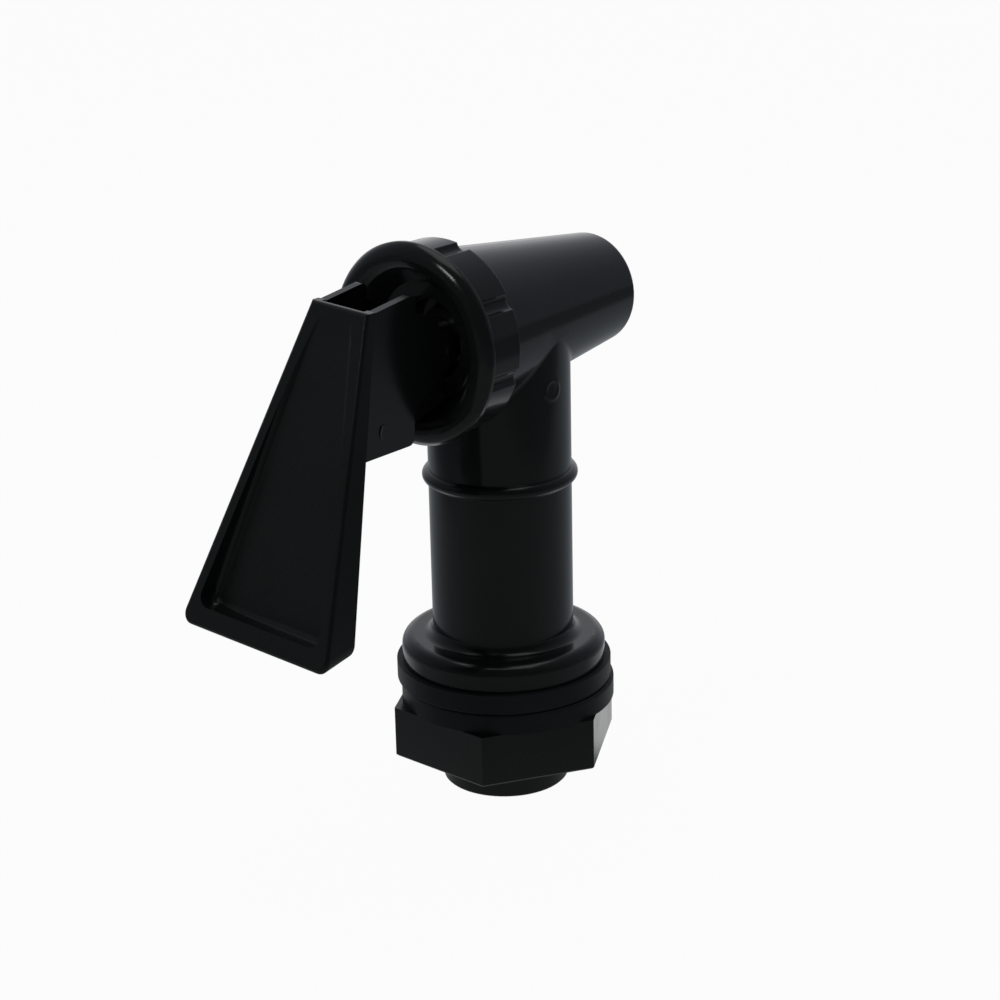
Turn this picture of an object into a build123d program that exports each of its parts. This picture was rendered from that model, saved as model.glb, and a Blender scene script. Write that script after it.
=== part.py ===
"""Beverage dispensing faucet: a tee-shaped body on a threaded shank, a fluted screw bonnet and a
paddle lever that lifts a sprung stem and its silicone seat cup off the nozzle's seat.
Millimetres. +Z runs up the shank from its inlet end, +X runs out of the nozzle."""

import os
from math import cos, radians, sin, sqrt, tan

from build123d import *

os.makedirs("parts", exist_ok=True)

# Shank, flange and upright barrel
axis_height = 83.2  # cross axis above the shank's end
pilot_r = 11.0  # plain end of the shank
pilot_length = 5.8
pilot_chamfer = 0.25
thread_height = 0.6  # crest of the shank thread above the plain end
shank_length = 22.5  # shank's end to the flange's underside
shank_wall = 2.4
inlet_length = 64.0
throat_step = 1.0  # narrowing from the inlet bore to the passage into the chamber
barrel_r = 12.25
dome_drop = 1.5  # centre of the barrel's round top below the cross axis
bead_z = 56.2
bead_r = 1.2
bead_stand = 1.06
flange_r = 17.7
flange_thickness = 4.73
flange_round = 2.0
flange_fillet = 1.6

# Cross barrel and nozzle
shoulder_margin = 0.65  # barrel's side to the end that takes the bonnet
shoulder_step = 0.55
chamber_inset = 1.35  # chamber's radius inside the barrel's
collar_wall = 2.6  # chamber to the crest of the bonnet thread
nozzle_x = 26.0
nozzle_inset = 2.65
nozzle_round = 1.0
nozzle_wall = 2.4
chamber_straight = 4.6  # even part of the chamber, from the collar's inner edge
seat_x = 8.6
seat_depth = 1.2
crotch_fillet = 1.2

# Bonnet
skirt_gap = 0.3
skirt_length = 7.8
lip_overhang = 0.78
lip_edge = 0.6
lip_width = 2.38  # lip's edge to the dome's crest
crest_width = 2.0  # dome's crest to the dish's mouth
crest_height = 1.6
mouth_height = 0.6
mouth_round = 0.7
dish_depth = 4.0
dish_taper = 2.6
track_width = 2.6  # flat track that the lever's nose bears on
well_depth = 3.6
well_wall = 1.5
well_gap = 0.4
bonnet_wall = 1.8
flute_count = 8
flute_angle = 16.5
flute_r = 1.6
flute_depth = 0.85
flute_runout = 0.7

# Seat cup, stem and spring
rim_depth = 2.2  # axial thickness of the cup's clamped rim
rim_inset = 0.4
cup_wall = 1.2
cup_gap = 0.6
cup_waist_length = 6.6  # waist to the seat
cup_waist_step = 0.5
cup_nose_gap = 0.5  # play of the cup's nose inside the seat's edge
cup_tip_stand = 0.1  # nose's tip over the outlet's edge
stem_r = 2.9
stem_tip = 2.6
stem_collar_gap = 0.8
stem_collar_t = 1.6
stem_collar_offset = 6.0  # collar's spring face to the seat
stem_neck_r = 2.2
stem_neck_length = 1.8
stem_knob_r = 3.6
stem_knob_length = 1.8
knob_play = 0.08
spring_wire_r = 0.5
spring_wire_sides = 6
spring_coil_r = 4.3
spring_turns = 6

# Lever handle, in its own plane through the cross axis
handle_swivel = 2.93  # turn of the hanging handle about the cross axis, degrees
handle_reach = 15.55  # bonnet's crest to the paddle's upper front edge
paddle_top = 9.89  # upper front edge above the cross axis
paddle_drop = 51.1
paddle_lean = 21.886  # front face from upright, degrees
paddle_top_width = 12.0
paddle_bottom_width = 32.17
paddle_top_thickness = 1.75
paddle_bottom_thickness = 6.67
paddle_bottom_rise = 1.0
paddle_corner = 1.8
paddle_edge = 0.7
scoop_rim = 2.0
scoop_foot = 3.9  # rim below the scoop
scoop_depth = 3.4
scoop_start = 1.8  # scoop's upper end below the upper front edge
scoop_lead = 0.6
scoop_corner = 2.0
scoop_round = 1.4
cheek_inset = 0.15  # cheeks' outer faces inside the paddle's upper corners
cheek_wall = 1.4
channel_bite = 0.9  # channel's front, ahead of the paddle's rear face
cheek_rise = 1.0
cheek_root = 0.3  # cheeks' upper edge sunk into the paddle
heel_gap = 4.4  # bonnet's crest to the cheeks' rear edge
heel_drop = 14.0
cheek_corner = 1.2
web_thickness = 2.0
neck_top = 9.0
neck_bottom = 9.5
nose_r = 1.8
nose_inset = 2.2  # nose's centre inside the track's outer edge
nose_clearance = 0.05
tongue_root = 3.0
tongue_root_r = 1.0
tongue_root_drop = 11.4
pin_r = 1.2
pin_advance = 1.0  # pin beyond the nose's centre, towards the bonnet
ear_r = 2.6
pin_clearance = 0.05
pin_play = 0.15

# Washers and lock nut
gasket_r = 18.7
gasket_thickness = 3.55
washer_r = 18.6
washer_thickness = 3.55
washer_play = 0.8
washer_shift = 0.6
washer_shift_angle = -50.0
washer_edge = 0.5
nut_across_flats = 35.0
nut_height = 9.2
nut_turn = 28.5
nut_edge = 0.35

# Running clearance of threads and of the stem in its hole
thread_clearance = 0.06
stem_clearance = 0.06

# Radii of the shank
thread_r = pilot_r + thread_height
inlet_r = pilot_r - shank_wall
throat_r = inlet_r - throat_step

# Radii of the cross barrel
chamber_r = barrel_r - chamber_inset
collar_r = chamber_r + collar_wall
shoulder_r = collar_r + shoulder_step
nozzle_r = barrel_r - nozzle_inset
outlet_r = nozzle_r - nozzle_wall
seat_r = outlet_r + seat_depth

# Radii of the seat cup and of the bonnet round it, from the inside out
cup_top_r = chamber_r - cup_gap
well_outer_r = cup_top_r - cup_wall - well_gap
well_r = well_outer_r - well_wall
cup_nose_r = seat_r - cup_nose_gap
cup_waist_r = cup_nose_r - cup_waist_step
cup_tip_r = outlet_r + cup_tip_stand
stem_collar_r = cup_waist_r - cup_wall - stem_collar_gap
track_r = well_r + track_width
nose_drop = track_r - nose_inset
mouth_r = track_r + dish_taper
crest_r = mouth_r + crest_width
lip_r = crest_r + lip_width
skirt_r = lip_r - lip_overhang

# Places along the cross axis, from the upright axis
shoulder_x = -barrel_r - shoulder_margin
skirt_x = shoulder_x - skirt_gap
lip_x = skirt_x - skirt_length
crest_x = lip_x - crest_height
mouth_x = lip_x - mouth_height
track_x = mouth_x + dish_depth
well_x = track_x + well_depth
under_x = track_x + bonnet_wall
well_under_x = well_x + bonnet_wall
bonnet_bore_r = collar_r + thread_clearance
cone_slope = (mouth_x - track_x) / (mouth_r - track_r)


def rim_x(r):
    """Bonnet's conical underside, which clamps the seat cup's rim, at a radius."""
    return under_x + cone_slope * (r - chamber_r)


collar_inner_x = rim_x(chamber_r) + rim_depth
collar_outer_x = rim_x(collar_r) + rim_depth
flange_top = shank_length + flange_thickness

# Planes and axes shared by the pieces on the cross axis
cross_axis = Axis((0, 0, axis_height), (1, 0, 0))
cross_plane = Plane((0, 0, axis_height), x_dir=(1, 0, 0), z_dir=(0, -1, 0))
across_plane = Plane((0, 0, axis_height), x_dir=(0, 1, 0), z_dir=(1, 0, 0))
lever_plane = cross_plane.rotated((handle_swivel, 0, 0))
lever_across = across_plane.rotated((handle_swivel, 0, 0))

# Faucet body: one moulding of shank, flange, barrel, cross barrel and nozzle
with BuildPart() as faucet_body:
    with BuildSketch(Plane.XZ) as upright_profile:
        with BuildLine():
            Polyline(
                (0, axis_height - dome_drop + barrel_r),
                (0, 0),
                (pilot_r - pilot_chamfer, 0),
                (pilot_r, pilot_chamfer),
                (pilot_r, pilot_length),
                (thread_r, pilot_length + thread_r - pilot_r),
                (thread_r, shank_length),
                (flange_r, shank_length),
                (flange_r, flange_top),
                (barrel_r, flange_top),
                (barrel_r, axis_height - dome_drop),
            )
            CenterArc((0, axis_height - dome_drop), barrel_r, 0, 90)
        make_face()
        corners = upright_profile.vertices()
        fillet(corners.sort_by_distance((flange_r, flange_top))[0], flange_round)
        corners = upright_profile.vertices()
        fillet(corners.sort_by_distance((barrel_r, flange_top))[0], flange_fillet)
        with Locations((barrel_r + bead_stand - bead_r, bead_z)):
            Circle(bead_r)
    revolve(axis=Axis.Z)
    with BuildSketch(cross_plane):
        with BuildLine():
            Polyline(
                (collar_inner_x, 0),
                (collar_inner_x, chamber_r),
                (collar_outer_x, collar_r),
                (shoulder_x, collar_r),
                (shoulder_x, shoulder_r),
                (nozzle_x, nozzle_r),
                (nozzle_x, 0),
                close=True,
            )
        make_face()
    revolve(axis=cross_axis)
    crotch = faucet_body.edges().filter_by(GeomType.BSPLINE)
    fillet(crotch, crotch_fillet)
    nozzle_rim = faucet_body.edges().filter_by(GeomType.CIRCLE).sort_by(Axis.X)[-1]
    fillet(nozzle_rim, nozzle_round)
    with BuildSketch(cross_plane):
        with BuildLine():
            Polyline(
                (collar_outer_x, 0),
                (collar_outer_x, chamber_r),
                (collar_inner_x + chamber_straight, chamber_r),
                (seat_x, seat_r),
                (seat_x + seat_r - outlet_r, outlet_r),
                (nozzle_x, outlet_r),
                (nozzle_x, 0),
                close=True,
            )
        make_face()
    revolve(axis=cross_axis, mode=Mode.SUBTRACT)
    with BuildSketch():
        Circle(throat_r)
    extrude(amount=axis_height, mode=Mode.SUBTRACT)
    with BuildSketch():
        Circle(inlet_r)
    extrude(amount=inlet_length, mode=Mode.SUBTRACT)
faucet_body.part.label = "faucet_body"
export_step(faucet_body.part, "parts/faucet_body.step")

# Bonnet: domed lip, dish with a track and a well for the lever, fluted skirt with the thread's bore
with BuildPart() as bonnet:
    with BuildSketch(cross_plane) as bonnet_profile:
        with BuildLine():
            Polyline(
                (mouth_x, mouth_r),
                (track_x, track_r),
                (track_x, well_r),
                (well_x, well_r),
                (well_x, stem_r + stem_clearance),
                (well_under_x, stem_r + stem_clearance),
                (well_under_x, well_outer_r),
                (under_x, well_outer_r),
                (under_x, chamber_r),
                (rim_x(bonnet_bore_r), bonnet_bore_r),
                (skirt_x, bonnet_bore_r),
                (skirt_x, skirt_r),
                (lip_x + lip_edge + lip_r - skirt_r, skirt_r),
                (lip_x + lip_edge, lip_r),
                (lip_x, lip_r),
            )
            ThreePointArc((lip_x, lip_r), (crest_x, crest_r), (mouth_x, mouth_r))
        make_face()
        corners = bonnet_profile.vertices()
        mouth_corner = corners.sort_by_distance((mouth_x, mouth_r))[0]
        fillet(mouth_corner, mouth_round)
    revolve(axis=cross_axis)
    with BuildSketch(across_plane.offset(skirt_x)):
        with PolarLocations(skirt_r + flute_r - flute_depth, flute_count, flute_angle):
            Circle(flute_r)
    extrude(amount=flute_runout - skirt_length, mode=Mode.SUBTRACT)
bonnet.part.label = "bonnet"
export_step(bonnet.part, "parts/bonnet.step")

# Places in the lever's plane: along the cross axis, then above it
heel_x = crest_x - heel_gap
front_top_x = crest_x - handle_reach
front_bottom_x = front_top_x - paddle_drop * tan(radians(paddle_lean))
paddle_bottom = paddle_top - paddle_drop
rear_top_x = front_top_x + paddle_top_thickness
rear_bottom_x = front_bottom_x + paddle_bottom_thickness
rear_bottom = paddle_bottom + paddle_bottom_rise
rear_slope = (rear_top_x - rear_bottom_x) / (paddle_top - rear_bottom)
nose_x = track_x - nose_r - nose_clearance
pin_x = nose_x + pin_advance
top_half = paddle_top_width / 2
bottom_half = paddle_bottom_width / 2
flare = (bottom_half - top_half) / paddle_drop
cheek_half = top_half - cheek_inset
channel_half = cheek_half - cheek_wall


def rear_x(height):
    """Paddle's rear face, at a height above the cross axis."""
    return rear_top_x + rear_slope * (height - paddle_top)


def offset_across(edge):
    """Distance of an edge's middle from the lever's plane."""
    return abs(lever_across.to_local_coords(edge.center()).X)


def core_x(height):
    """Plane inside the paddle where the cheeks root, at a height above the cross axis."""
    return rear_x(height) - paddle_top_thickness / 2


# Scoop of the paddle's front: flush at its upper end, deepest along the lower rim
front_length = paddle_drop / cos(radians(paddle_lean))
side_flare = (paddle_bottom_width - paddle_top_width) / 2 / front_length
rim_across = scoop_rim * sqrt(1 + side_flare**2)
face_plane = Plane(
    lever_plane.from_local_coords((front_top_x, paddle_top)),
    x_dir=lever_across.x_dir,
    z_dir=lever_plane.from_local_coords(Vector(-cos(radians(paddle_lean)), sin(radians(paddle_lean))))
    - lever_plane.origin,
)
down_face = Axis(face_plane.origin, face_plane.y_dir)
out_of_face = Axis(face_plane.origin, face_plane.z_dir)
scoop_end = front_length - scoop_foot


def scoop_floor(distance):
    """Level of the scoop's sloping floor, at a distance down the front face."""
    return scoop_depth * (scoop_start - distance) / (scoop_end - scoop_start)


def scoop_half(distance):
    """Half the scoop's width, at a distance down the front face."""
    return top_half + side_flare * distance - rim_across


with BuildPart() as scoop:
    with BuildSketch(face_plane):
        with BuildLine():
            Polyline(
                (-scoop_half(scoop_lead), scoop_lead),
                (-scoop_half(scoop_end), scoop_end),
                (scoop_half(scoop_end), scoop_end),
                (scoop_half(scoop_lead), scoop_lead),
                close=True,
            )
        make_face()
    extrude(amount=scoop_depth, both=True)
    with BuildSketch(Plane(face_plane.origin, x_dir=face_plane.y_dir, z_dir=face_plane.x_dir)):
        with BuildLine():
            Polyline(
                (scoop_lead, scoop_floor(scoop_lead)),
                (scoop_end, scoop_floor(scoop_end)),
                (scoop_lead, scoop_floor(scoop_end)),
                close=True,
            )
        make_face()
    extrude(amount=paddle_bottom_width, both=True, mode=Mode.SUBTRACT)
    fillet(scoop.edges().filter_by(out_of_face).sort_by(down_face)[-2:], scoop_corner)
    floor_face = scoop.faces().sort_by(out_of_face)[0]
    fillet(floor_face.outer_wire().edges().sort_by(down_face)[1:], scoop_round)

# Lever handle: one moulding of paddle, two cheeks, a web and the nose that bears on the track
with BuildPart() as handle:
    with BuildSketch(lever_plane):
        with BuildLine():
            Polyline(
                (front_top_x, paddle_top),
                (front_bottom_x, paddle_bottom),
                (rear_bottom_x, rear_bottom),
                (rear_top_x, paddle_top),
                close=True,
            )
        make_face()
    extrude(amount=paddle_bottom_width, both=True)
    with BuildSketch(lever_across):
        with BuildLine():
            Polyline(
                (-top_half, paddle_top),
                (-bottom_half - flare * paddle_corner, paddle_bottom - paddle_corner),
                (bottom_half + flare * paddle_corner, paddle_bottom - paddle_corner),
                (top_half, paddle_top),
                close=True,
            )
        make_face()
    extrude(amount=2 * front_bottom_x, mode=Mode.INTERSECT)
    fillet(handle.edges().sort_by(offset_across)[-2:], paddle_corner)
    front_face = handle.faces().filter_by(face_plane)[0]
    fillet(front_face.outer_wire().edges(), paddle_edge)
    add(scoop.part, mode=Mode.SUBTRACT)
    with BuildSketch(lever_plane.offset(-cheek_half)) as cheek_profile:
        with BuildLine():
            Polyline(
                (core_x(paddle_top), paddle_top - cheek_root),
                (heel_x, paddle_top + cheek_rise),
                (heel_x, -heel_drop),
                (core_x(-heel_drop), -heel_drop),
                close=True,
            )
        make_face()
        fillet(cheek_profile.vertices().group_by(Axis.X)[-1], cheek_corner)
        with BuildLine():
            Polyline(
                (heel_x - cheek_corner, neck_top),
                (pin_x, ear_r),
                (pin_x, -ear_r),
                (heel_x - cheek_corner, -neck_bottom),
                close=True,
            )
        make_face()
        with Locations((pin_x, 0)):
            Circle(ear_r)
    extrude(amount=2 * cheek_half)
    with BuildSketch(lever_plane):
        with BuildLine():
            Polyline(
                (rear_x(paddle_top) - channel_bite, paddle_top),
                (rear_x(paddle_top) - channel_bite, paddle_top + 2 * cheek_rise),
                (pin_x + 2 * ear_r, paddle_top + 2 * cheek_rise),
                (pin_x + 2 * ear_r, -heel_drop),
                (heel_x, -heel_drop),
                (heel_x, -heel_drop + web_thickness),
                (rear_x(-heel_drop + web_thickness) - channel_bite, -heel_drop + web_thickness),
                close=True,
            )
        make_face()
    extrude(amount=channel_half, both=True, mode=Mode.SUBTRACT)
    with BuildSketch(lever_plane):
        with Locations((nose_x, -nose_drop)):
            Circle(nose_r)
        with Locations((heel_x - tongue_root, -tongue_root_drop)):
            Circle(tongue_root_r)
        make_hull()
    extrude(amount=channel_half, both=True)
    with BuildSketch(lever_plane):
        with Locations((pin_x, 0)):
            Circle(pin_r)
    extrude(amount=paddle_top_width, both=True, mode=Mode.SUBTRACT)
handle.part.label = "handle"
export_step(handle.part, "parts/handle.step")

# Handle pin, flush with the cheeks
with BuildPart() as handle_pin:
    with BuildSketch(lever_plane):
        with Locations((pin_x, 0)):
            Circle(pin_r)
    extrude(amount=cheek_half, both=True)
handle_pin.part.label = "handle_pin"
export_step(handle_pin.part, "parts/handle_pin.step")

# Valve stem: rod, spring collar, and the knob that snaps into the seat cup
collar_x = seat_x - stem_collar_offset
neck_x = collar_x + stem_collar_t
knob_x = neck_x + stem_neck_length
knob_end_x = knob_x + stem_knob_length
with BuildPart() as valve_stem:
    with BuildSketch(lever_plane):
        with BuildLine():
            Polyline(
                (pin_x - stem_tip, 0),
                (knob_end_x, 0),
                (knob_end_x, stem_neck_r),
                (knob_x, stem_knob_r),
                (knob_x, stem_neck_r),
                (neck_x, stem_neck_r),
                (neck_x, stem_collar_r),
                (collar_x, stem_collar_r),
                (collar_x, stem_r),
                (pin_x - stem_tip, stem_r),
                close=True,
            )
        make_face()
    revolve(axis=cross_axis)
    chamfer(valve_stem.edges().filter_by(GeomType.CIRCLE).sort_by(Axis.X)[0], stem_r - stem_neck_r)
    with BuildSketch(lever_plane):
        with Locations((pin_x, 0)):
            SlotCenterToCenter(2 * pin_play, 2 * (pin_r + pin_clearance), rotation=90)
    extrude(amount=stem_collar_r, both=True, mode=Mode.SUBTRACT)
valve_stem.part.label = "valve_stem"
export_step(valve_stem.part, "parts/valve_stem.step")

# Closing spring between the bonnet's well and the stem's collar
spring_x = well_under_x + spring_wire_r
spring_length = collar_x - well_under_x - 2 * spring_wire_r
with BuildPart() as closing_spring:
    with BuildLine() as coil:
        Helix(
            spring_length / spring_turns,
            spring_length,
            spring_coil_r,
            center=(spring_x, 0, axis_height),
            direction=(1, 0, 0),
        )
    with BuildSketch(Plane(coil.line @ 0, z_dir=coil.line % 0)):
        RegularPolygon(spring_wire_r, spring_wire_sides)
    sweep(path=coil.line, is_frenet=True)
closing_spring.part.label = "closing_spring"
export_step(closing_spring.part, "parts/closing_spring.step")

# Seat cup: clamped conical rim, thin tapering wall, and the nose that closes on the seat
rim_r = collar_r - rim_inset
cup_waist_x = seat_x - cup_waist_length
nose_seat_x = seat_x + seat_r - cup_nose_r - knob_play
tip_x = seat_x + seat_r - cup_tip_r - knob_play
with BuildPart() as seat_cup:
    with BuildSketch(lever_plane):
        with BuildLine():
            Polyline(
                (rim_x(chamber_r), chamber_r),
                (rim_x(rim_r), rim_r),
                (rim_x(rim_r) + rim_depth, rim_r),
                (rim_x(chamber_r) + rim_depth, chamber_r),
                (rim_x(chamber_r) + rim_depth, cup_top_r),
                (cup_waist_x, cup_waist_r),
                (neck_x, cup_nose_r),
                (nose_seat_x, cup_nose_r),
                (tip_x, cup_tip_r),
                (tip_x, 0),
                (knob_end_x + knob_play, 0),
                (knob_end_x + knob_play, stem_neck_r + knob_play),
                (knob_x - knob_play, stem_knob_r + knob_play),
                (knob_x - knob_play, stem_neck_r + knob_play),
                (neck_x + knob_play, stem_neck_r + knob_play),
                (neck_x + knob_play, cup_waist_r - cup_wall),
                (cup_waist_x, cup_waist_r - cup_wall),
                (rim_x(chamber_r) + rim_depth, cup_top_r - cup_wall),
                (rim_x(chamber_r), cup_top_r - cup_wall),
                close=True,
            )
        make_face()
    revolve(axis=cross_axis)
seat_cup.part.label = "seat_cup"
export_step(seat_cup.part, "parts/seat_cup.step")


# Rubber washers under the flange
gasket_z = shank_length - gasket_thickness
washer_z = gasket_z - washer_thickness
hole_r = thread_r + washer_play
with BuildPart() as flange_gasket:
    with BuildSketch(Plane.XY.offset(gasket_z)):
        Circle(gasket_r)
        Circle(hole_r, mode=Mode.SUBTRACT)
    extrude(amount=gasket_thickness)
    fillet(flange_gasket.faces().sort_by(Axis.Z)[0].outer_wire().edges(), washer_edge)
flange_gasket.part.label = "flange_gasket"
export_step(flange_gasket.part, "parts/flange_gasket.step")

shift_x = washer_shift * cos(radians(washer_shift_angle))
shift_y = washer_shift * sin(radians(washer_shift_angle))
with BuildPart() as nut_washer:
    with BuildSketch(Plane((shift_x, shift_y, washer_z))):
        Circle(washer_r)
        Circle(hole_r, mode=Mode.SUBTRACT)
    extrude(amount=washer_thickness)
    fillet(nut_washer.faces().sort_by(Axis.Z)[-1].outer_wire().edges(), washer_edge)
nut_washer.part.label = "nut_washer"
export_step(nut_washer.part, "parts/nut_washer.step")

# Hex lock nut
with BuildPart() as lock_nut:
    with BuildSketch(Plane.XY.offset(washer_z - nut_height)):
        RegularPolygon(nut_across_flats / 2, 6, major_radius=False, rotation=nut_turn)
        Circle(thread_r + thread_clearance, mode=Mode.SUBTRACT)
    extrude(amount=nut_height)
    chamfer(lock_nut.faces().sort_by(Axis.Z)[0].outer_wire().edges(), nut_edge)
lock_nut.part.label = "lock_nut"
export_step(lock_nut.part, "parts/lock_nut.step")
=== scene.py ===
# %% [markdown]
# A black dispensing faucet, dressed for its portrait.
# The CAD already has nearly every shape, so most of this lesson is about surfaces: how one black
# moulding compound, rubber, silicone and a little steel are told apart by gloss and grain.
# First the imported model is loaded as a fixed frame. Its meshes are never edited here. The nozzle,
# the bonnet and the stem share one level line, the cross axis, and its height is kept in mm.

# %% Load the frame
import math

import bmesh
import bpy
from mathutils import Matrix, Vector


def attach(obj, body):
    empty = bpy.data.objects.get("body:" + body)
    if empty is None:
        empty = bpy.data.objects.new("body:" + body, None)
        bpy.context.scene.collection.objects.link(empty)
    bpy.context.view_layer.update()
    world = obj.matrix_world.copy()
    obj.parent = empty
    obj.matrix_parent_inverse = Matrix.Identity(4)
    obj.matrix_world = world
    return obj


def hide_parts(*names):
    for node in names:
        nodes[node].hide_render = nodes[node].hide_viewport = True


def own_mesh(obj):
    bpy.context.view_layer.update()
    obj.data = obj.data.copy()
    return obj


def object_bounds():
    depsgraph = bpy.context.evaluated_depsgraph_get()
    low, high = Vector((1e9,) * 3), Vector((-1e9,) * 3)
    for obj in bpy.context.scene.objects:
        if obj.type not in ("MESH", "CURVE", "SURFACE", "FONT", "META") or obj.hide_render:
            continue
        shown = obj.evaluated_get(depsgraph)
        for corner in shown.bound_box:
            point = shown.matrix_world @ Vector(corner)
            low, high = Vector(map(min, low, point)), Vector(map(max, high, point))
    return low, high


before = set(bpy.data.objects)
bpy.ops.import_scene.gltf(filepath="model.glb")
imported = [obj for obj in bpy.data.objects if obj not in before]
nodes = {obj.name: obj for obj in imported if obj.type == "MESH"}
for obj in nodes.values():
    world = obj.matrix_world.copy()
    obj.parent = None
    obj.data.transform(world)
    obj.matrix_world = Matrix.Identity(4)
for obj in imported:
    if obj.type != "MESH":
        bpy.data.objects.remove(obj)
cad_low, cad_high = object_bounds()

MM = 0.001
scene = bpy.context.scene
middle = (cad_low + cad_high) / 2
cross_height = 83.2
print("CAD box, mm:", [round((b - a) / MM, 1) for a, b in zip(cad_low, cad_high)])

# %% [markdown]
# The camera comes before any finish, because gloss can only be judged from the right place.
# The photograph was taken with a long lens, from above and from the lever's side, with the
# camera leaning very slightly. The position and the three axes below say all of that, and a
# lens of about 85 mm on a 36 mm sensor gives the same perspective.

# %% Camera
camera_at = Vector((-0.29169, -0.24600, 0.18338))
camera_right = Vector((0.6393, -0.7687, -0.0205)).normalized()
camera_ahead = Vector((0.7220, 0.6092, -0.3279)).normalized()
camera_up = camera_right.cross(camera_ahead).normalized()
camera_right = camera_ahead.cross(camera_up).normalized()

lens = bpy.data.cameras.new("portrait_lens")
lens.sensor_width = 36.0
lens.lens = 84.87
lens.clip_start = 0.01
lens.clip_end = 50.0
camera = bpy.data.objects.new("portrait_camera", lens)
turn = Matrix((camera_right, camera_up, -camera_ahead)).transposed()
camera.matrix_world = Matrix.Translation(camera_at) @ turn.to_4x4()
bpy.context.collection.objects.link(camera)
scene.camera = camera
print("camera distance to the part, mm:", round((camera_at - middle).length / MM))

# %% [markdown]
# Every shader below is a small net of nodes. A few helpers join them, so that the later lines
# read like sums. Wherever a helper takes a value, it may be a plain number or another node's
# output.

# %% Node helpers
white = (1, 1, 1, 1)


def wire(tree, source, target):
    """Joins an output socket to an input socket."""
    tree.links.new(source, target)


def feed(tree, value, target):
    """Joins an output socket to an input socket, or sets the input to a plain value."""
    if isinstance(value, bpy.types.NodeSocket):
        wire(tree, value, target)
    else:
        target.default_value = value


def maths(tree, operation, *values, clamp=False):
    """A Math node; gives its output socket."""
    node = tree.nodes.new("ShaderNodeMath")
    node.operation = operation
    node.use_clamp = clamp
    for socket, value in zip(node.inputs, values):
        feed(tree, value, socket)
    return node.outputs[0]


def along(tree, vector, direction):
    """How far a vector socket reaches along a fixed direction."""
    node = tree.nodes.new("ShaderNodeVectorMath")
    node.operation = "DOT_PRODUCT"
    wire(tree, vector, node.inputs[0])
    node.inputs[1].default_value = direction
    return node.outputs["Value"]


def ramp(tree, value, stops):
    """A colour ramp from (place, grey) or (place, colour) stops; gives its colour socket."""
    node = tree.nodes.new("ShaderNodeValToRGB")
    band = node.color_ramp
    while len(band.elements) < len(stops):
        band.elements.new(0.5)
    for element, (place, shade) in zip(band.elements, stops):
        colour = shade if isinstance(shade, tuple) else (shade, shade, shade)
        element.position = place
        element.color = (*colour, 1.0)
    wire(tree, value, node.inputs[0])
    return node.outputs[0]


def blend_colours(tree, share, first, second):
    """A Mix node from one colour to another by a share; gives its colour socket."""
    node = tree.nodes.new("ShaderNodeMix")
    node.data_type = "RGBA"
    wire(tree, share, node.inputs["Factor"])
    feed(tree, first, node.inputs[6])
    feed(tree, second, node.inputs[7])
    return node.outputs[2]


def spread(tree, value, low, high, new_low, new_high):
    """Stretches a value's range, clamped."""
    node = tree.nodes.new("ShaderNodeMapRange")
    wire(tree, value, node.inputs["Value"])
    for socket, given in zip(("From Min", "From Max", "To Min", "To Max"), (low, high, new_low, new_high)):
        feed(tree, given, node.inputs[socket])
    return node.outputs[0]


def noise(tree, where, scale, detail):
    """A noise value from 0 to 1; scale is in cycles per metre."""
    node = tree.nodes.new("ShaderNodeTexNoise")
    wire(tree, where, node.inputs["Vector"])
    feed(tree, scale, node.inputs["Scale"])
    node.inputs["Detail"].default_value = detail
    return node.outputs[0]


print("node helpers: wire, feed, maths, along, ramp, blend_colours, spread, noise")

# %% [markdown]
# Glossy black has almost no colour of its own: what we see is the room, mirrored. Here the
# room is bright behind the faucet and dim on the camera's side, as on a photographer's table
# with a white sweep, so the faces that look at us stay black and only the edges, which mirror
# the sweep, shine. The world shader turns a direction into that brightness, and shows plain
# white to the camera alone, so the background stays clean.

# %% The room
scene.view_settings.view_transform = "Standard"
back_of_room = Vector((camera_ahead.x, camera_ahead.y, 0)).normalized()

room = bpy.data.worlds.new("studio_room")
scene.world = room
room.use_nodes = True
tree = room.node_tree
tree.nodes.clear()
looking = tree.nodes.new("ShaderNodeTexCoord").outputs["Generated"]
depth = maths(tree, "MULTIPLY_ADD", along(tree, looking, back_of_room), 0.5, 0.5)
walls = ramp(tree, depth, [
    (0.0, (0.028, 0.031, 0.030)), (0.15, (0.033, 0.037, 0.036)), (0.25, (0.050, 0.055, 0.055)),
    (0.35, (0.074, 0.081, 0.081)), (0.45, (0.098, 0.106, 0.109)), (0.55, (0.126, 0.135, 0.147)),
    (0.65, (0.146, 0.153, 0.172)), (0.75, (0.194, 0.200, 0.228)), (0.8, (0.240, 0.246, 0.277)),
    (0.86, (0.30, 0.305, 0.34)), (0.91, (0.40, 0.405, 0.445)), (0.95, (0.50, 0.505, 0.545)),
    (0.975, (0.66, 0.665, 0.70)), (1.0, (0.90, 0.90, 0.93)),
])
path = tree.nodes.new("ShaderNodeLightPath")
shade = tree.nodes.new("ShaderNodeBackground")
wire(tree, blend_colours(tree, path.outputs["Is Camera Ray"], walls, white), shade.inputs["Color"])
wire(tree, shade.outputs[0], tree.nodes.new("ShaderNodeOutputWorld").inputs[0])
print("room is brightest towards", [round(v, 2) for v in back_of_room])

# %% [markdown]
# The floor is a sheet of pale paper that carries the shadow. It lies at the part's lowest point.

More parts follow.
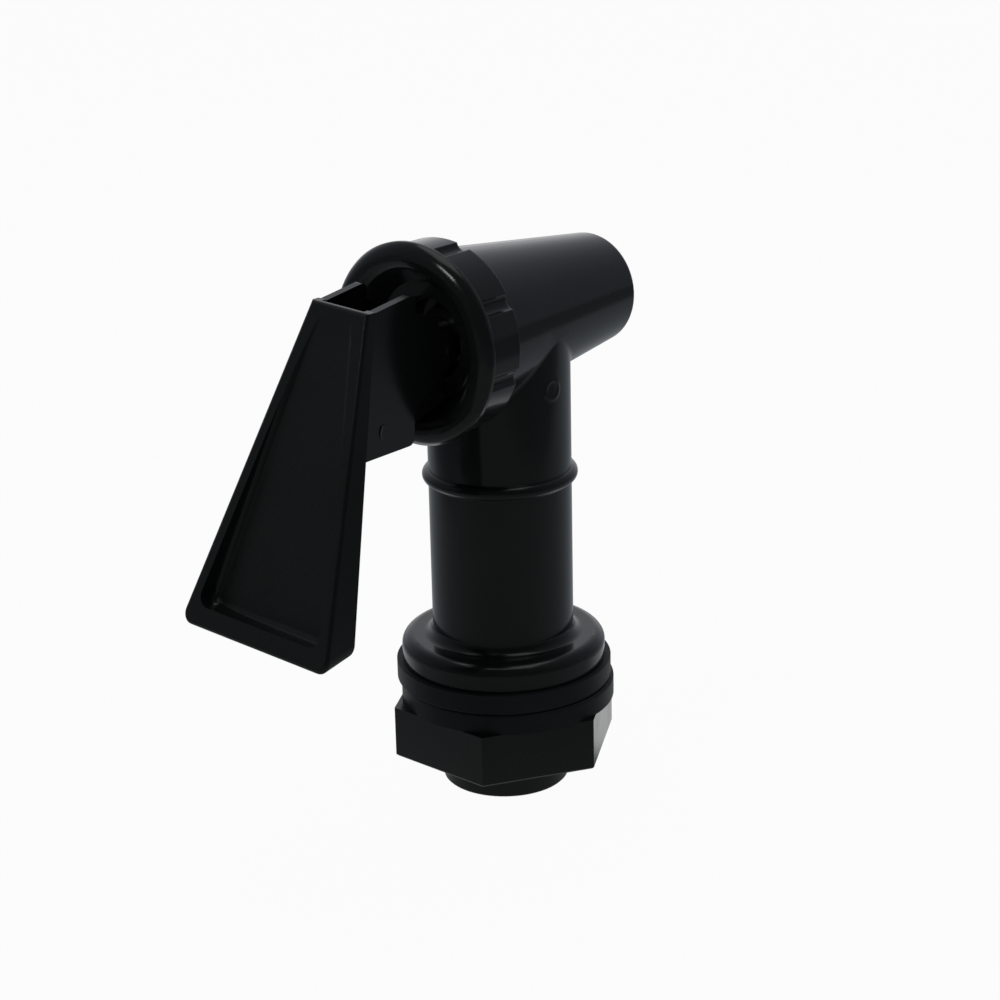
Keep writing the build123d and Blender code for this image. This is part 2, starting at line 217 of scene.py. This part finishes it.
# %% Paper floor
paper_half_width = 1.6
paper_mesh = bpy.data.meshes.new("paper_floor")
sheet = bmesh.new()
bmesh.ops.create_grid(sheet, x_segments=8, y_segments=8, size=paper_half_width)
sheet.to_mesh(paper_mesh)
sheet.free()
paper = bpy.data.objects.new("paper_floor", paper_mesh)
paper.location.z = cad_low.z
bpy.context.collection.objects.link(paper)
print("floor at z, mm:", round(paper.location.z / MM, 2))

# %% [markdown]
# The camera sees the paper as white. To the plastic the paper glows with painted light: bright
# behind the part and dim in front, like the rest of the room; close by, the change from front to
# back is gentle, and beyond the painted lit strip's edges it is dark. A painted pool of light lies
# on the paper close behind the part, with a faint one round its foot, and shines in the nut's far
# flats. A little of the paper stays plain matt, and that takes the shadow.

# %% Paper's light
lit_left = -0.15
lit_right = 0.2
right_slant = 0.6
edge_steepness = 30.0
glow_share = 0.96
paper_white = (0.82, 0.82, 0.82, 1)

paper_look = bpy.data.materials.new("pale_paper")
paper_look.use_nodes = True
tree = paper_look.node_tree
tree.nodes.clear()
place = tree.nodes.new("ShaderNodeTexCoord").outputs["Object"]
span = tree.nodes.new("ShaderNodeVectorMath")
span.operation = "LENGTH"
wire(tree, place, span.inputs[0])
distance = span.outputs["Value"]
deep = along(tree, place, back_of_room)
bearing = maths(tree, "MULTIPLY_ADD", maths(tree, "DIVIDE", deep, distance), 0.5, 0.5)
# Painted light: the paper's glow as glossy rays see it, bright behind the part and dim in front.
near_paper = ramp(tree, bearing, [
    (0.0, (0.102, 0.113, 0.108)), (0.12, (0.112, 0.124, 0.121)), (0.3, (0.144, 0.158, 0.163)),
    (0.45, (0.158, 0.175, 0.187)), (0.57, (0.176, 0.194, 0.210)), (0.69, (0.215, 0.237, 0.257)),
    (0.8, (0.255, 0.282, 0.306)), (0.9, (0.29, 0.315, 0.34)), (1.0, (0.35, 0.37, 0.39)),
])
far_paper = ramp(tree, bearing, [
    (0.0, (0.045, 0.05, 0.05)), (0.5, (0.068, 0.074, 0.078)), (0.78, (0.095, 0.10, 0.108)),
    (0.88, (0.17, 0.175, 0.19)), (0.94, (0.4, 0.405, 0.43)), (1.0, (0.68, 0.68, 0.70)),
])

sideways = along(tree, place, camera_right)
right_edge = maths(tree, "MULTIPLY_ADD", deep, right_slant, lit_right)
over_right = maths(tree, "SUBTRACT", sideways, right_edge)
over_left = maths(tree, "SUBTRACT", lit_left, sideways)
past_right = maths(tree, "MULTIPLY", over_right, edge_steepness, clamp=True)
past_left = maths(tree, "MULTIPLY", over_left, edge_steepness, clamp=True)
past_end = ramp(tree, distance, [(0.28, 0.0), (0.45, 1.0)])
far_off = maths(tree, "MAXIMUM", maths(tree, "MAXIMUM", past_right, past_left), past_end)
paper_sweep = blend_colours(tree, far_off, near_paper, far_paper)

# A painted pool of light close behind the part, and a faint painted one round its foot.
tenths_of_metre = maths(tree, "MULTIPLY", distance, 10.0)
close_by = ramp(tree, tenths_of_metre, [(0.5, 1.0), (0.78, 0.0)])
behind = ramp(tree, bearing, [(0.55, 0.0), (0.7, 0.78)])
underfoot = ramp(tree, tenths_of_metre, [(0.12, 0.1), (0.5, 0.0)])
painted_pool = maths(tree, "MAXIMUM", maths(tree, "MULTIPLY", close_by, behind), underfoot)
sweep = blend_colours(tree, painted_pool, paper_sweep, white)

path = tree.nodes.new("ShaderNodeLightPath")
glow = tree.nodes.new("ShaderNodeEmission")
wire(tree, blend_colours(tree, path.outputs["Is Camera Ray"], sweep, white), glow.inputs["Color"])
matt = tree.nodes.new("ShaderNodeBsdfDiffuse")
matt.inputs["Color"].default_value = paper_white
shown = maths(tree, "MAXIMUM", path.outputs["Is Camera Ray"], path.outputs["Is Glossy Ray"])
shown = maths(tree, "MAXIMUM", shown, path.outputs["Is Transmission Ray"])
blend = tree.nodes.new("ShaderNodeMixShader")
wire(tree, maths(tree, "MULTIPLY", shown, glow_share), blend.inputs[0])
wire(tree, matt.outputs[0], blend.inputs[1])
wire(tree, glow.outputs[0], blend.inputs[2])
wire(tree, blend.outputs[0], tree.nodes.new("ShaderNodeOutputMaterial").inputs[0])
paper_mesh.materials.append(paper_look)
print("paper's lit strip, mm:", round(lit_left / MM), "to", round(lit_right / MM))

# %% [markdown]
# One soft lamp hangs overhead and a little behind. It gives the part its shadow and a faint lift
# to surfaces that look up. A second, small one stands high on the camera's left, only for the
# bright streak on the bonnet's lip.

# %% Lamps


def soft_lamp(name, where, width, height, watts):
    """A rectangular lamp that faces the middle of the part."""
    data = bpy.data.lights.new(name, "AREA")
    data.shape = "RECTANGLE"
    data.size = width
    data.size_y = height
    data.energy = watts
    lamp = bpy.data.objects.new(name, data)
    lamp.location = where
    lamp.rotation_euler = (middle - where).to_track_quat("-Z", "Y").to_euler()
    bpy.context.collection.objects.link(lamp)
    print("lamp", name, "at", [round(v, 2) for v in where])


overhead_at = middle + Vector((0, 0, 1.5)) + 0.15 * back_of_room
left_front_at = middle - 0.55 * back_of_room - 0.55 * camera_right + Vector((0, 0, 0.62))
soft_lamp("overhead", overhead_at, width=1.2, height=1.2, watts=3.6)
soft_lamp("left_front", left_front_at, width=0.28, height=0.08, watts=0.84)

# %% [markdown]
# Moulded plastic is never perfectly even. Its skin has faint flow clouds, and a very fine orange
# peel left by the mould's polish. Every moulded piece shares these, so they are one shader group
# with its own dials for each material.

# %% Group: moulded skin


def shader_group(name, dials, outputs):
    """A new shader group with number dials and outputs; gives it and its input and output nodes."""
    group = bpy.data.node_groups.new(name, "ShaderNodeTree")
    for dial, value in dials.items():
        socket = group.interface.new_socket(dial, in_out="INPUT", socket_type="NodeSocketFloat")
        socket.default_value = value
    for output in outputs:
        group.interface.new_socket(output, in_out="OUTPUT", socket_type="NodeSocketFloat")
    return group, group.nodes.new("NodeGroupInput"), group.nodes.new("NodeGroupOutput")


skin, dial, out = shader_group("moulded_skin", {"Clouds": 90.0, "Peel": 900.0}, ("Cloud", "Peel"))
where = skin.nodes.new("ShaderNodeTexCoord").outputs["Object"]
flow = noise(skin, where, dial.outputs["Clouds"], detail=3.0)
wire(skin, spread(skin, flow, 0.3, 0.7, 0.0, 1.0), out.inputs["Cloud"])
wire(skin, noise(skin, where, dial.outputs["Peel"], detail=1.0), out.inputs["Peel"])
print("group:", skin.name, [item.name for item in skin.interface.items_tree])

# %% [markdown]
# The second group is a stipple: the fine pebbled grain that is etched into a mould where
# fingers press, and on rubber sheet. It gives a height and a mask of its pits.

# %% Group: stipple
stipple, dial, out = shader_group("stipple", {"Grains": 1500.0}, ("Height", "Pits"))
where = stipple.nodes.new("ShaderNodeTexCoord").outputs["Object"]
cells = stipple.nodes.new("ShaderNodeTexVoronoi")
wire(stipple, where, cells.inputs["Vector"])
wire(stipple, dial.outputs["Grains"], cells.inputs["Scale"])
fine = noise(stipple, where, maths(stipple, "MULTIPLY", dial.outputs["Grains"], 0.6), detail=2.0)
pebbles = maths(stipple, "MULTIPLY", cells.outputs["Distance"], 0.6)
wire(stipple, maths(stipple, "ADD", pebbles, fine), out.inputs["Height"])
wire(stipple, spread(stipple, cells.outputs["Distance"], 0.05, 0.35, 1.0, 0.0), out.inputs["Pits"])
print("group:", stipple.name, [item.name for item in stipple.interface.items_tree])

# %% [markdown]
# A few more helpers make the frame of every material: a Principled shader whose even values sit
# on its own sockets, the moulded skin laid over it, and a bump that takes its height from a
# group. Distances are in metres.

# %% Material helpers


def finish(name, colour, roughness, **even):
    """A material with a Principled shader; gives it, its tree and the shader."""
    look = bpy.data.materials.new(name)
    look.use_nodes = True
    tree = look.node_tree
    shader = tree.nodes["Principled BSDF"]
    shader.inputs["Base Color"].default_value = (*colour, 1)
    shader.inputs["Roughness"].default_value = roughness
    for socket, value in even.items():
        shader.inputs[socket.replace("_", " ")].default_value = value
    return look, tree, shader


def place_group(tree, group, **dials):
    """Puts a shared group into a material with its own dials."""
    node = tree.nodes.new("ShaderNodeGroup")
    node.node_tree = group
    for dial, value in dials.items():
        node.inputs[dial].default_value = value
    return node


def lay_skin(tree, shader, clouds, peel, dark, light):
    """Lays the moulded skin on a shader, with its clouds between two colours; gives both masks."""
    node = place_group(tree, skin, Clouds=clouds, Peel=peel)
    cloud = node.outputs["Cloud"]
    wire(tree, blend_colours(tree, cloud, (*dark, 1), (*light, 1)), shader.inputs["Base Color"])
    return cloud, node.outputs["Peel"]


def vary_gloss(tree, shader, mask, smooth, rough, low=0.0, high=1.0):
    """Feeds Roughness from a mask, between two values."""
    wire(tree, spread(tree, mask, low, high, smooth, rough), shader.inputs["Roughness"])


def bump(tree, shader, height, distance, strength, soften=0.0):
    """Feeds Normal from a height, over edges softened by a small radius."""
    node = tree.nodes.new("ShaderNodeBump")
    node.inputs["Strength"].default_value = strength
    node.inputs["Distance"].default_value = distance
    wire(tree, height, node.inputs["Height"])
    if soften:
        round_edges = tree.nodes.new("ShaderNodeBevel")
        round_edges.inputs["Radius"].default_value = soften
        wire(tree, round_edges.outputs[0], node.inputs["Normal"])
    wire(tree, node.outputs[0], shader.inputs["Normal"])


def dress(node, look):
    """Gives a CAD node its material."""
    mesh = nodes[node].data
    mesh.materials.clear()
    mesh.materials.append(look)
    print(node, "wears", look.name)


print("material helpers: finish, place_group, lay_skin, vary_gloss, bump, dress")

# %% [markdown]
# The body and the bonnet are the same glossy compound, black with a cool cast. The colour is
# nearly zero and almost all the picture is reflection, so the roughness clouds matter more
# than the colour clouds. A moulding has no knife edges, so its corners are shaded as if they
# were rounded by a fraction of a millimetre.

# %% Glossy black
edge_radius = 0.0004
gloss_black, tree, shader = finish("gloss_black_moulding", (0.0150, 0.0163, 0.0167), 0.12)
cloud, peel = lay_skin(tree, shader, 70.0, 700.0, (0.0136, 0.0148, 0.0151), (0.0164, 0.0178, 0.0183))
vary_gloss(tree, shader, cloud, 0.1, 0.17)
bump(tree, shader, peel, 0.00001, 0.5, soften=edge_radius)
dress("faucet_body", gloss_black)
dress("bonnet", gloss_black)

# %% [markdown]
# The handle is the same black, but the scoop of its paddle is stippled so that it doesn't show
# finger marks. The scoop is found from the surface's own place: it faces the front and lies
# behind the paddle's front plane. The grain fades in with depth, so its upper end has no line.

# %% Handle black with a stippled scoop
swivel = math.radians(2.93)
lean = math.radians(21.886)
face_x = -38.15
face_above_axis = 9.89
fade_depth = 0.0004
scoop_roughness = 0.2

paddle_black, tree, shader = finish("paddle_black_moulding", (0.0120, 0.0131, 0.0134), 0.16)
face_out = Vector((-math.cos(lean), -math.sin(lean) * math.sin(swivel), math.sin(lean) * math.cos(swivel)))
face_y = -face_above_axis * math.sin(swivel)
face_z = cross_height + face_above_axis * math.cos(swivel)
face_level = Vector((face_x, face_y, face_z)).dot(face_out) * MM
surface = tree.nodes.new("ShaderNodeTexCoord")
in_front = along(tree, surface.outputs["Object"], face_out)
sunk = spread(tree, in_front, face_level - fade_depth, face_level, 1.0, 0.35)
facing = spread(tree, along(tree, surface.outputs["Normal"], face_out), 0.9, 0.97, 0.0, 1.0)
scoop = maths(tree, "MULTIPLY", sunk, facing)
cloud, _ = lay_skin(tree, shader, 80.0, 700.0, (0.0110, 0.0120, 0.0123), (0.0130, 0.0142, 0.0146))
smooth_part = spread(tree, cloud, 0.0, 1.0, 0.14, 0.2)
gloss = maths(tree, "MULTIPLY_ADD", scoop, scoop_roughness, smooth_part)
wire(tree, gloss, shader.inputs["Roughness"])
grain = place_group(tree, stipple, Grains=1500.0)
bump(tree, shader, maths(tree, "MULTIPLY", grain.outputs["Height"], scoop), 0.00006, 0.6)
dress("handle", paddle_black)

# %% [markdown]
# The lock nut is a harder, duller moulding. The two washers are black rubber: a broad soft
# sheen and a fine grain.

# %% Nut and rubber
nut_black, tree, shader = finish("nut_black_moulding", (0.0128, 0.0138, 0.0142), 0.2)
cloud, peel = lay_skin(tree, shader, 120.0, 1100.0, (0.0115, 0.0124, 0.0128), (0.0142, 0.0153, 0.0158))
vary_gloss(tree, shader, cloud, 0.15, 0.24)
bump(tree, shader, peel, 0.00002, 0.6)
dress("lock_nut", nut_black)

rubber_black, tree, shader = finish(
    "washer_rubber", (0.0180, 0.0194, 0.0222), 0.6, Specular_IOR_Level=0.3
)
lay_skin(tree, shader, 150.0, 1600.0, (0.0160, 0.0173, 0.0198), (0.0204, 0.0220, 0.0250))
grain = place_group(tree, stipple, Grains=2600.0)
vary_gloss(tree, shader, grain.outputs["Pits"], 0.54, 0.68)
bump(tree, shader, grain.outputs["Height"], 0.00003, 0.5)
dress("flange_gasket", rubber_black)
dress("nut_washer", rubber_black)

# %% [markdown]
# Inside are the milky silicone cup, seen down the nozzle, a satin black stem, and the steel
# of the spring and the pin.

# %% Silicone, stem and steel
silicone, tree, shader = finish("milky_silicone", (0.72, 0.72, 0.69), 0.4, Subsurface_Weight=0.25)
shader.inputs["Subsurface Radius"].default_value = (0.002, 0.002, 0.002)
cloud, peel = lay_skin(tree, shader, 160.0, 1200.0, (0.66, 0.66, 0.63), (0.76, 0.76, 0.73))
vary_gloss(tree, shader, cloud, 0.34, 0.46)
bump(tree, shader, peel, 0.00002, 0.4)

stem_black, tree, shader = finish("stem_black_moulding", (0.009, 0.009, 0.0095), 0.32)
_, peel = lay_skin(tree, shader, 140.0, 1000.0, (0.007, 0.007, 0.0075), (0.012, 0.012, 0.0125))
bump(tree, shader, peel, 0.00002, 0.5)
dress("valve_stem", stem_black)

steel, tree, shader = finish("drawn_steel", (0.56, 0.56, 0.57), 0.28, Metallic=1.0)
_, peel = lay_skin(tree, shader, 400.0, 2600.0, (0.50, 0.50, 0.51), (0.62, 0.62, 0.63))
vary_gloss(tree, shader, peel, 0.2, 0.38, low=0.3, high=0.7)
dress("handle_pin", steel)

# %% [markdown]
# A few pieces are built here and not in the CAD. All of them start as a bmesh, and one helper
# turns that into a smooth piece, gives it a look and lets it ride on a body. Most of them are
# turned shapes, so another helper lists the angles round a circle.

# %% Piece helpers


def round_angles(steps):
    """Equal steps round a full circle."""
    return [2 * math.pi * step / steps for step in range(steps)]


def make_piece(shape, name, look, body, sharp_angle=None):
    """Turns a bmesh into a smooth piece that rides on a body."""
    bmesh.ops.recalc_face_normals(shape, faces=shape.faces)
    mesh = bpy.data.meshes.new(name)
    shape.to_mesh(mesh)
    shape.free()
    for face in mesh.polygons:
        face.use_smooth = True
    mesh.materials.append(look)
    if sharp_angle:
        mesh.set_sharp_from_angle(angle=sharp_angle)
    piece = bpy.data.objects.new(name, mesh)
    bpy.context.collection.objects.link(piece)
    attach(piece, body)
    print(name, "has", len(mesh.polygons), "faces")
    return piece


print("piece helpers: round_angles, make_piece")

# %% [markdown]
# Two small traces of the mould are easy to miss. On the barrel is the round print of an ejector
# pin, a shallow saucer with a faint rim, and on the handle's cheek a tiny dimple whose lip stands
# up on one side. Both are turned shapes, so one function lays a radius and height profile onto a
# surface. All their sizes are in mm.

# %% Mould marks
barrel_radius = 12.25
print_angle = math.radians(-92.5)
print_height = 72.83

cheek_side = -5.85
cheek_skin = 0.012
dimple_x = -34.5
dimple_above_axis = -10.0
dimple_half_width = 0.75
dimple_half_height = 1.2
low_side = Vector((0.8, -0.6))


def turned_mark(name, profile, onto, look, body, steps=40):
    """A small turned shape from (radius, height) pairs; onto() gives the place of (u, w, height)."""
    shape = bmesh.new()
    centre = shape.verts.new(onto(0.0, 0.0, profile[0][1]))
    rings = []
    for radius, height in profile[1:]:
        spots = [(radius * math.cos(a), radius * math.sin(a)) for a in round_angles(steps)]
        rings.append([shape.verts.new(onto(u, w, height)) for u, w in spots])
    for step in range(steps):
        after = (step + 1) % steps
        shape.faces.new((centre, rings[0][step], rings[0][after]))
        for inner, outer in zip(rings, rings[1:]):
            shape.faces.new((inner[step], outer[step], outer[after], inner[after]))
    make_piece(shape, name, look, body)


def on_barrel(u, w, height):
    """A place on the upright barrel, u round it and w along it from the print's centre."""
    angle = print_angle + u / barrel_radius
    out = barrel_radius + height
    return Vector((out * math.cos(angle), out * math.sin(angle), print_height + w)) * MM


def on_cheek(u, w, height):
    """A place on the handle's near cheek, from the dimple's centre; one side of its lip is low."""
    toward_low_side = low_side.dot((u, w)) / max(math.hypot(u, w), 0.001)
    if height > cheek_skin:
        height = cheek_skin + (height - cheek_skin) * (0.5 - 0.5 * toward_low_side)
    across = cheek_side - height
    above = dimple_above_axis + dimple_half_height * w
    y = across * math.cos(swivel) - above * math.sin(swivel)
    z = across * math.sin(swivel) + above * math.cos(swivel)
    return Vector((dimple_x + dimple_half_width * u, y, cross_height + z)) * MM


saucer = [
    (0, 0.035), (0.6, 0.035), (1.15, 0.04), (1.36, 0.05),
    (1.46, 0.1), (1.56, 0.115), (1.7, 0.09), (2.3, -0.03),
]
turned_mark("ejector_print", saucer, on_barrel, gloss_black, "body")
dimple = [(0, cheek_skin), (0.42, cheek_skin), (0.9, 0.17), (0.98, 0.18), (1.04, 0.16), (1.1, -0.03)]
turned_mark("cheek_pip", dimple, on_cheek, paddle_black, "lever", steps=24)

# %% [markdown]
# Two hidden pieces change their length when the lever is pressed: the spring is squeezed by the
# stem's collar, and the cup's wall folds up after the stem's knob. A rigid solid can't do that; both
# are built again here. The cup is a turned profile, in mm along the cross axis and out from it.
# Its clamped rim stays a piece of its own.

# %% Cup rim and wall
crease = math.radians(35)

rim_back = -15.8
rim_end = -13.6
rim_bore = 9.1
rim_neck = 10.9
rim_edge = 13.09
waist_x = 2.0
hollow_radius = 6.2
hollow_end = 4.28
stem_hole = 2.28
pocket_start = 5.75
pocket_end = 8.05
tip_x = 9.6


def on_cross_axis(x, radius, angle):
    """A place round the cross axis, from mm."""
    return Vector((x, radius * math.cos(angle), cross_height + radius * math.sin(angle))) * MM


def turned_ring(name, profile, steps=72):
    """A silicone piece turned from a closed loop of (x, radius) pairs; radius 0 is on the axis."""
    shape = bmesh.new()
    rings = []
    for x, radius in profile:
        angles = round_angles(steps if radius else 1)
        rings.append([shape.verts.new(on_cross_axis(x, radius, a)) for a in angles])
    for here, there in zip(rings, rings[1:] + rings[:1]):
        for step in range(steps):
            corners = [here[step % len(here)], there[step % len(there)]]
            corners += [there[(step + 1) % len(there)], here[(step + 1) % len(here)]]
            corners = list(dict.fromkeys(corners))
            if len(corners) > 2:
                shape.faces.new(corners)
    piece = make_piece(shape, name, silicone, "cup", crease)
    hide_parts("seat_cup")
    return piece


turned_ring("cup_rim", [
    (rim_back, rim_bore), (rim_back, rim_neck), (-19.18, rim_edge), (-16.98, rim_edge),
    (rim_end, rim_neck), (rim_end, rim_bore),
])
wall_outside = [(rim_end, 10.3), (waist_x, 7.4), (4.2, 7.9), (9.0, 7.9), (tip_x, 7.3), (tip_x, 0)]
knob_pocket = [(pocket_end, 0), (pocket_end, 2.45), (pocket_start, 3.85), (pocket_start, stem_hole)]
wall_inside = [(hollow_end, stem_hole), (hollow_end, hollow_radius), (waist_x, hollow_radius)]
cup_wall = turned_ring("cup_wall", [(rim_end, rim_bore)] + wall_outside + knob_pocket + wall_inside)
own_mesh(cup_wall)

# %% [markdown]
# The spring is a round wire along a helix, from the bottom of the bonnet's well to the stem's
# collar.

# %% Spring
well_end = -12.2
collar_face = 2.6
coil_radius = 4.3
wire_radius = 0.45
wire_sides = 10
turns = 6
coil_steps = turns * 40
first_x = well_end + wire_radius
last_x = collar_face - wire_radius

coil = bmesh.new()
loops = []
for step in range(coil_steps + 1):
    share = step / coil_steps
    loop = []
    for around in round_angles(wire_sides):
        x = first_x + share * (last_x - first_x) + wire_radius * math.sin(around)
        out_from_axis = coil_radius + wire_radius * math.cos(around)
        loop.append(coil.verts.new(on_cross_axis(x, out_from_axis, 2 * math.pi * turns * share)))
    loops.append(loop)
for here, there in zip(loops, loops[1:]):
    for side in range(wire_sides):
        after = (side + 1) % wire_sides
        coil.faces.new((here[side], here[after], there[after], there[side]))
coil.faces.new(loops[0])
coil.faces.new(loops[-1])
spring = make_piece(coil, "spring_coil", steel, "swivel", crease)
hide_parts("closing_spring")
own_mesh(spring)
